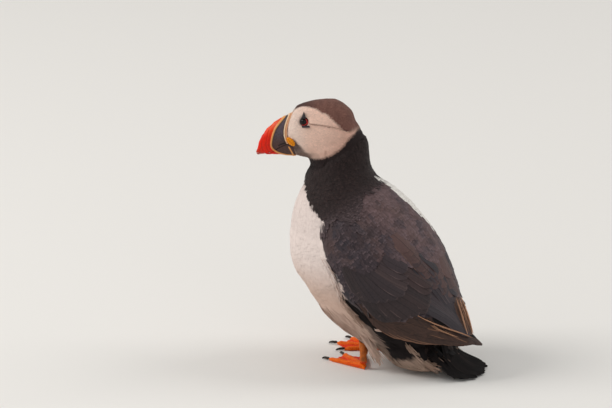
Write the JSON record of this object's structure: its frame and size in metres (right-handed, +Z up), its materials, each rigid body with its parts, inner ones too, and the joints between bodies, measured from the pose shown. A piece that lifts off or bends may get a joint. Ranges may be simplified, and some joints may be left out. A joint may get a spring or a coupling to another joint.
{
  "type": "atlantic puffin",
  "caption": "Life-size Atlantic puffin standing upright on webbed feet, wings folded, tail tip on the floor, head turned to its left.",
  "frame": {"origin": "on the floor under the middle of the bird's bounding box", "axes": "+Z up, the trunk faces -Y, the bird's left is +X"},
  "size_m": [0.1174, 0.1888, 0.2149],
  "materials": {
    "plumage": "soft, close-lying feathers: black above, white below, pale grey face",
    "bill": "satin horn, red tip and slate base with a yellow line between",
    "rim": "waxy pale yellow horn",
    "rosette": "wrinkled waxy skin",
    "eye": "wet gloss, dark brown",
    "eye_plate": "matt slate grey horn",
    "foot": "scaled, slightly waxy orange skin",
    "claw": "smooth dark horn"
  },
  "bodies": {
    "root": {"bill_upper": "bill", "bill_lower": "bill", "bill_rim": "rim", "rosette_left": "rosette", "eye_left": "eye", "eye_crest_left": "eye_plate", "eye_bar_left": "eye_plate", "rosette_right": "rosette", "eye_right": "eye", "eye_crest_right": "eye_plate", "eye_bar_right": "eye_plate", "head": "plumage", "neck": "plumage", "trunk": "plumage", "mantle": "plumage", "wing_left": "plumage", "primaries_left": "plumage", "wing_right": "plumage", "primaries_right": "plumage", "tail": "plumage", "leg_left": "foot", "foot_left": "foot", "claw_left_outer": "claw", "claw_left_middle": "claw", "claw_left_inner": "claw", "leg_right": "foot", "foot_right": "foot", "claw_right_outer": "claw", "claw_right_middle": "claw", "claw_right_inner": "claw"}
  },
  "joints": []
}
